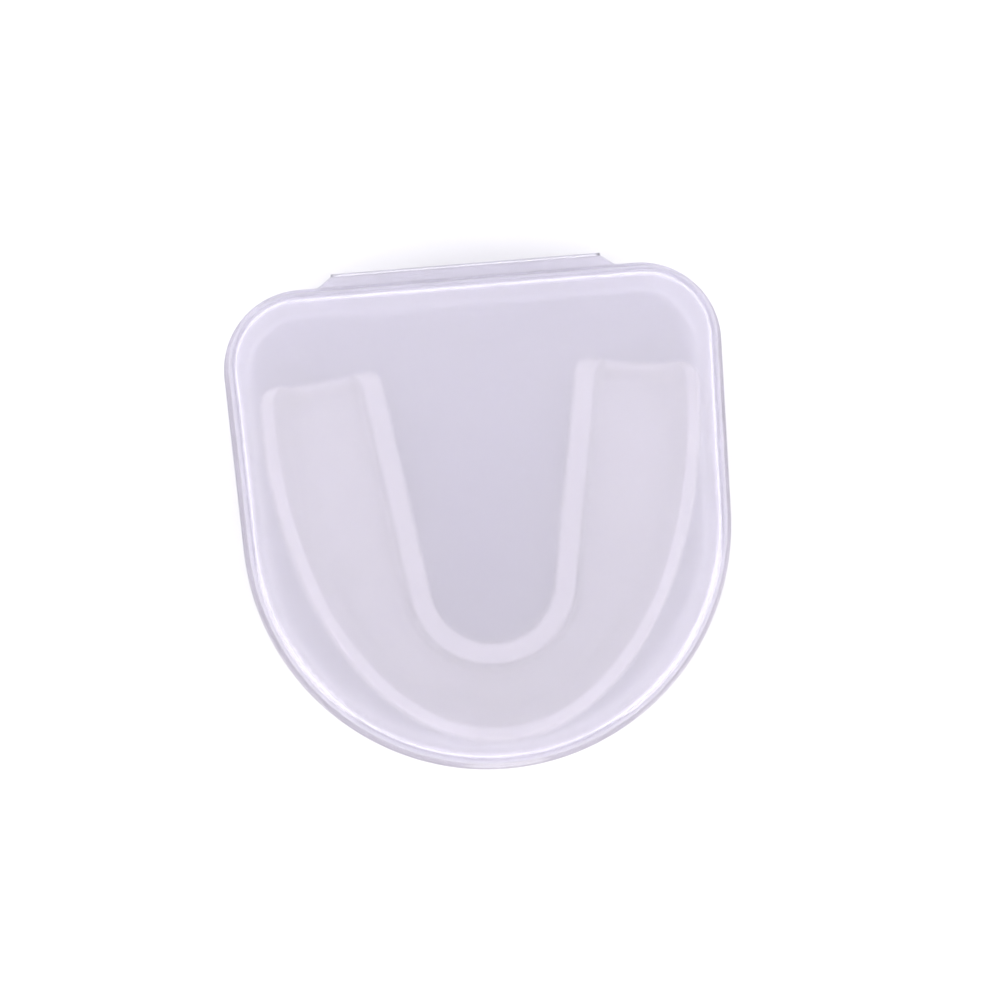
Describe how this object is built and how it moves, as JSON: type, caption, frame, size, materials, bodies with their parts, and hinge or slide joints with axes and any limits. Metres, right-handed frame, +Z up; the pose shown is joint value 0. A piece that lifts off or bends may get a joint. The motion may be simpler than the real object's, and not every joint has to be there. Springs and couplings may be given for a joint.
{
  "type": "mouthguard with case",
  "caption": "Soft mouthguard for boxing and martial arts, lying in a frosted D-shaped plastic case whose lid opens on a living hinge.",
  "frame": {"origin": "middle of the closed case's footprint, on the surface that it lies on", "axes": "+Z up out of the lid, +X to the right, +Y towards the hinge, -Y towards the round front"},
  "size_m": [0.079, 0.0804, 0.025],
  "materials": {
    "case_plastic": "frosted translucent polypropylene with a faint lavender tint, semi-gloss outside",
    "guard_plastic": "soft translucent ethylene-vinyl acetate, pale pink, satin"
  },
  "bodies": {
    "tray": {"case_tray": "case_plastic", "hinge_film": "case_plastic"},
    "lid": {"case_lid": "case_plastic"},
    "mouthguard": {"mouthguard": "guard_plastic"}
  },
  "joints": [
    {"name": "lid_hinge", "type": "hinge", "parent": "tray", "child": "lid", "pos_m": [0, 0.03973, 0.0125], "axis": [-1, 0, 0], "range_deg": [0, 180], "deforming": ["hinge_film"]},
    {"name": "guard_lift", "type": "slide", "parent": "tray", "child": "mouthguard", "axis": [0, 0, 1], "range_m": [0, 0.0025]}
  ]
}
